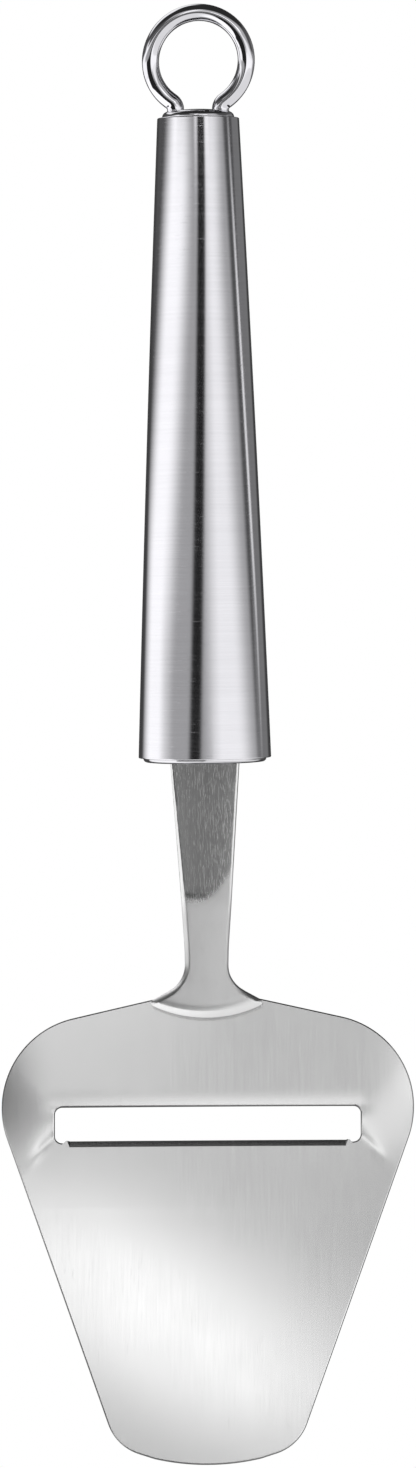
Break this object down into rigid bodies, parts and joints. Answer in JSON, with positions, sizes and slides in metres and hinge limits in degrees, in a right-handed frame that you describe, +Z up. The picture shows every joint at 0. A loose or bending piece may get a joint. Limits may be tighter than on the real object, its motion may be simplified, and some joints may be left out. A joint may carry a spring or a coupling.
{
  "type": "cheese slicer",
  "caption": "Steel cheese slicer: a slotted spatula blade with a pressed cutting edge on a bent shank, a tapered hollow handle and a wire loop to hang it by.",
  "frame": {"origin": "the point on the inner top of the wire loop where a hook carries the hanging slicer", "axes": "+Z up along the handle towards the loop, -Y towards the blade's front (the side the foot is welded to), X across the blade"},
  "size_m": [0.0688, 0.0322, 0.2412],
  "materials": {
    "handle_steel": "satin ground round the axis and polished",
    "blade_steel": "fine brushed along the length",
    "wire_steel": "mirror polished",
    "weld_metal": "as welded"
  },
  "bodies": {
    "root": {"blade": "blade_steel", "shank": "blade_steel", "front_cap": "handle_steel", "handle_tube": "handle_steel", "rear_cap": "handle_steel", "hanging_loop": "wire_steel", "tang_weld_front": "weld_metal", "tang_weld_back": "weld_metal", "loop_weld": "weld_metal"}
  },
  "joints": []
}
